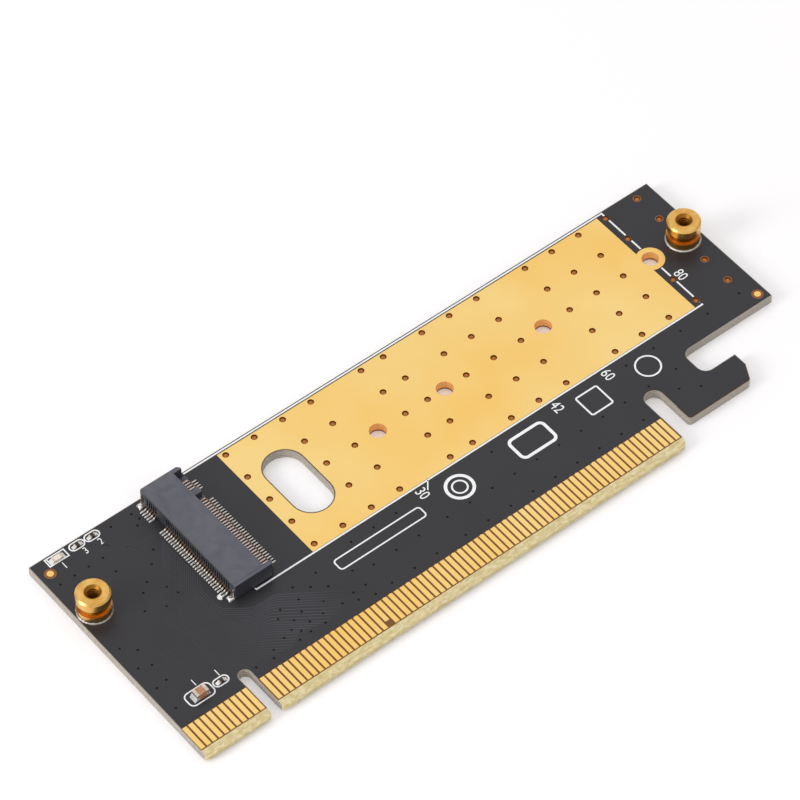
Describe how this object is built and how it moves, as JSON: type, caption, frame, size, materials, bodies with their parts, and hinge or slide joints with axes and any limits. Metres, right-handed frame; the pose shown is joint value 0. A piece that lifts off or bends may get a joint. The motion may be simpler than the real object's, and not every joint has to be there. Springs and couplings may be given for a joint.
{
  "type": "solid state drive adapter card",
  "caption": "Flat circuit card with a gold edge connector and hook that carries one M.2 solid state drive in a low socket over a gold heat pad.",
  "frame": {"origin": "under the middle of the card, on the plane of its underside", "axes": "+X along the edge contacts from pin 1, +Y from the edge contacts to the top edge, +Z out of the side that carries the parts"},
  "size_m": [0.1108, 0.0404, 0.0056],
  "materials": {
    "fr4_laminate": "bare glass-epoxy laminate",
    "solder_mask": "dark satin coat",
    "gold_plate": "thin gold over copper",
    "connector_plastic": "moulded slate-grey plastic",
    "contact_metal": "plated stamped strip",
    "turned_brass": "turned and polished",
    "solder": "reflowed, uneven",
    "led_resin": "clear milky resin",
    "tinned_caps": "matt tin",
    "resistor_ceramic": "dark glaze",
    "capacitor_ceramic": "fired brown ceramic"
  },
  "bodies": {
    "root": {"circuit_board": "fr4_laminate", "solder_mask_top": "solder_mask", "solder_mask_bottom": "solder_mask", "edge_contacts_top": "gold_plate", "edge_contacts_bottom": "gold_plate", "thermal_pad": "gold_plate", "screw_hole_rings": "gold_plate", "alignment_marks": "gold_plate", "m2_housing": "connector_plastic", "m2_upper_contacts": "contact_metal", "m2_lower_contacts": "contact_metal", "m2_anchor_near": "contact_metal", "m2_anchor_far": "contact_metal", "standoff_left": "turned_brass", "standoff_right": "turned_brass", "standoff_solder_left": "solder", "standoff_solder_right": "solder", "led_body": "led_resin", "led_terminals": "tinned_caps", "capacitor_body": "capacitor_ceramic", "capacitor_terminals": "tinned_caps", "part_solder": "solder", "resistor_1_body": "resistor_ceramic", "resistor_1_terminals": "tinned_caps", "resistor_2_body": "resistor_ceramic", "resistor_2_terminals": "tinned_caps", "resistor_3_body": "resistor_ceramic", "resistor_3_terminals": "tinned_caps"}
  },
  "joints": []
}
